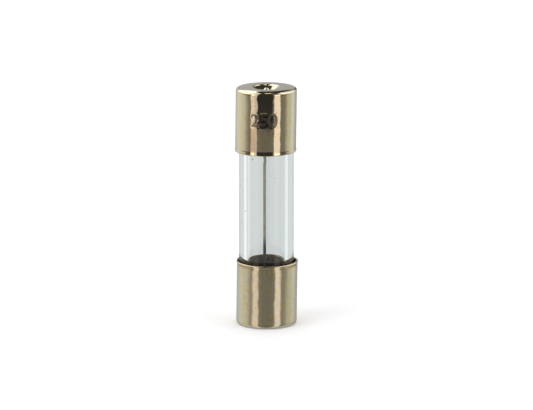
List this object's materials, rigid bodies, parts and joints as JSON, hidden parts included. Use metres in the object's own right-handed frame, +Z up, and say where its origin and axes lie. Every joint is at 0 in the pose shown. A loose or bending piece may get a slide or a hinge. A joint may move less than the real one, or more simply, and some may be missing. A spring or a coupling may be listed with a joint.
{
  "type": "cartridge fuse",
  "caption": "Miniature glass cartridge fuse: clear tube, drawn metal end caps with soldered dimples, and an axial fuse wire.",
  "frame": {"origin": "middle of the lower end face, on the glass tube's axis; the face plane is z = 0", "axes": "+Z up along the fuse from the lower cap to the upper cap; the caps sit 0.07 mm off the tube's axis, the lower one to +X and the upper one to -X"},
  "size_m": [0.0054, 0.0052, 0.0202],
  "materials": {
    "glass": "clear drawn glass, fire-polished ends",
    "polished_cap_metal": "nickel-plated brass, bright",
    "satin_cap_metal": "nickel-plated brass, dulled and lightly mottled",
    "tinned_wire": "tinned copper wire, dull",
    "solder": "tin solder, bright where it has flowed",
    "cement": "matt cap cement"
  },
  "bodies": {
    "root": {"glass_tube": "glass", "upper_end_cap": "polished_cap_metal", "lower_end_cap": "satin_cap_metal", "fuse_wire": "tinned_wire", "upper_solder_plug": "solder", "lower_solder_plug": "solder", "upper_cement_ring": "cement", "lower_cement_ring": "cement"}
  },
  "joints": []
}
